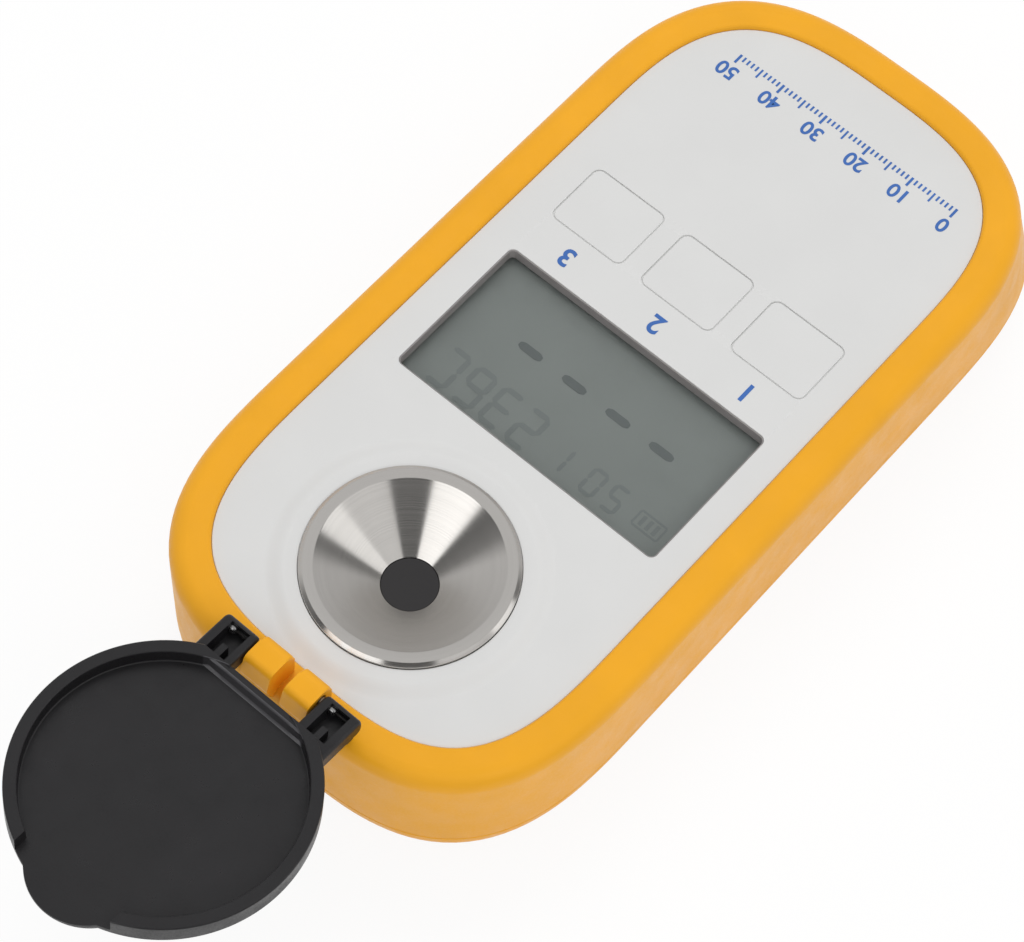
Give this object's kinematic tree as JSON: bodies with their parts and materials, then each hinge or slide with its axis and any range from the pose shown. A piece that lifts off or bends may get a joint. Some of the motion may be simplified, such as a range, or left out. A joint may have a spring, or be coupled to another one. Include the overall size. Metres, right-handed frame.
{
  "type": "digital pocket refractometer",
  "caption": "Handheld refractometer: casing with a display, keys, a steel sample well over its optics, a flip lid on hinge arms and a sliding battery door.",
  "frame": {"origin": "centre of the casing's flat back face, on which it rests", "axes": "+Y towards the hinged end with the sample well, +Z out of the panel, +X to the reader's right"},
  "size_m": [0.058, 0.156, 0.0307],
  "materials": {
    "casing_yellow": "satin moulded ABS, golden yellow",
    "panel_white": "satin moulded ABS, cool white",
    "lid_black": "fine matte moulded ABS, black",
    "inner_black": "black moulded plastic",
    "stainless_steel": "fine turned stainless steel",
    "plated_steel": "nickel plated steel",
    "black_rubber": "soft black rubber",
    "clear_plastic": "clear polished acrylic",
    "display_glass": "grey-green display glass with a polariser",
    "optical_glass": "polished lens glass",
    "prism_glass": "polished dark prism",
    "board_green": "green solder mask",
    "ribbon_amber": "amber film ribbon",
    "cell_jacket": "plain printed cell jacket",
    "lead_red": "red wire insulation"
  },
  "bodies": {
    "casing": {"front_frame": "casing_yellow", "rear_cover": "casing_yellow", "front_panel": "panel_white", "display_gasket": "black_rubber", "display_window": "clear_plastic", "display_glass": "display_glass", "display_frame": "inner_black", "display_strip_near": "black_rubber", "display_strip_far": "black_rubber", "switch_left": "plated_steel", "switch_middle": "plated_steel", "switch_right": "plated_steel", "main_board": "board_green", "main_chip": "inner_black", "sample_well": "stainless_steel", "well_gasket": "black_rubber", "prism": "prism_glass", "prism_seal": "black_rubber", "optics_housing": "inner_black", "light_source": "clear_plastic", "condenser_lens": "optical_glass", "focus_lens": "optical_glass", "line_sensor": "inner_black", "sensor_board": "board_green", "sensor_ribbon": "ribbon_amber", "temperature_probe": "inner_black", "battery": "cell_jacket", "battery_spring": "plated_steel", "battery_contact_far": "plated_steel", "battery_contact_near": "plated_steel", "battery_lead": "lead_red", "case_gasket": "black_rubber", "hinge_pin_left": "inner_black", "hinge_pin_right": "inner_black", "case_screw_1": "plated_steel", "case_screw_2": "plated_steel", "case_screw_3": "plated_steel", "case_screw_4": "plated_steel", "board_screw_1": "plated_steel", "board_screw_2": "plated_steel", "board_screw_3": "plated_steel", "board_screw_4": "plated_steel", "optics_screw_1": "plated_steel", "optics_screw_2": "plated_steel", "optics_screw_3": "plated_steel", "optics_screw_4": "plated_steel"},
    "lid_body": {"lid": "lid_black"},
    "battery_door": {"battery_cover": "casing_yellow"},
    "key_left_body": {"key_left": "panel_white", "plunger_left": "inner_black"},
    "key_middle_body": {"key_middle": "panel_white", "plunger_middle": "inner_black"},
    "key_right_body": {"key_right": "panel_white", "plunger_right": "inner_black"}
  },
  "joints": [
    {"name": "lid_hinge", "type": "hinge", "parent": "casing", "child": "lid_body", "pos_m": [0, 0.05741, 0.024], "axis": [1, 0, 0], "range_deg": [0, 174.9]},
    {"name": "battery_door_slide", "type": "slide", "parent": "casing", "child": "battery_door", "axis": [0, -1, 0], "range_m": [0, 0.05]},
    {"name": "key_left_press", "type": "slide", "parent": "casing", "child": "key_left_body", "axis": [0, 0, -1], "range_m": [0, 0.0004], "stiffness_N_per_m": 400, "springref_m": -0.0005},
    {"name": "key_middle_press", "type": "slide", "parent": "casing", "child": "key_middle_body", "axis": [0, 0, -1], "range_m": [0, 0.0004], "stiffness_N_per_m": 400, "springref_m": -0.0005},
    {"name": "key_right_press", "type": "slide", "parent": "casing", "child": "key_right_body", "axis": [0, 0, -1], "range_m": [0, 0.0004], "stiffness_N_per_m": 400, "springref_m": -0.0005}
  ]
}
